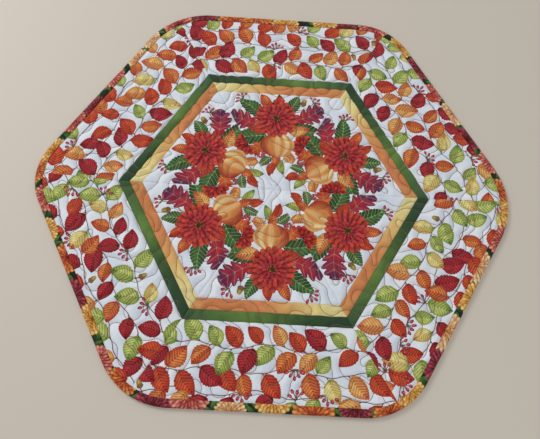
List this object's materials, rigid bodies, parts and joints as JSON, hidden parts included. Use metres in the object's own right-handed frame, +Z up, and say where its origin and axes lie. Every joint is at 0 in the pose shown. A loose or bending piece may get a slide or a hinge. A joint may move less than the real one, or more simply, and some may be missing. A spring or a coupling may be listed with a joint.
{
  "type": "quilted table topper",
  "caption": "Hexagonal quilted table topper with pieced centre wedges, two narrow coloured rings, a printed border and a rounded bound edge, lying flat.",
  "frame": {"origin": "on the table, below the middle of the topper's outline", "axes": "+X along the longest corner-to-corner extent, +Y across a pair of sides, +Z up, out of the pieced face"},
  "size_m": [0.5748, 0.52, 0.0046],
  "materials": {
    "centre_print": "printed quilting cotton, matt plain weave",
    "peach_strip": "shaded peach quilting cotton, matt plain weave",
    "green_strip": "shaded green quilting cotton, matt plain weave",
    "border_print": "printed quilting cotton, matt plain weave",
    "binding_print": "printed cotton bias binding, matt plain weave"
  },
  "bodies": {
    "root": {"centre_wedge_1": "centre_print", "centre_wedge_2": "centre_print", "centre_wedge_3": "centre_print", "centre_wedge_4": "centre_print", "centre_wedge_5": "centre_print", "centre_wedge_6": "centre_print", "peach_strip_1": "peach_strip", "peach_strip_2": "peach_strip", "peach_strip_3": "peach_strip", "peach_strip_4": "peach_strip", "peach_strip_5": "peach_strip", "peach_strip_6": "peach_strip", "green_strip_1": "green_strip", "green_strip_2": "green_strip", "green_strip_3": "green_strip", "green_strip_4": "green_strip", "green_strip_5": "green_strip", "green_strip_6": "green_strip", "border_panel_1": "border_print", "border_panel_2": "border_print", "border_panel_3": "border_print", "border_panel_4": "border_print", "border_panel_5": "border_print", "border_panel_6": "border_print", "binding": "binding_print"}
  },
  "joints": []
}
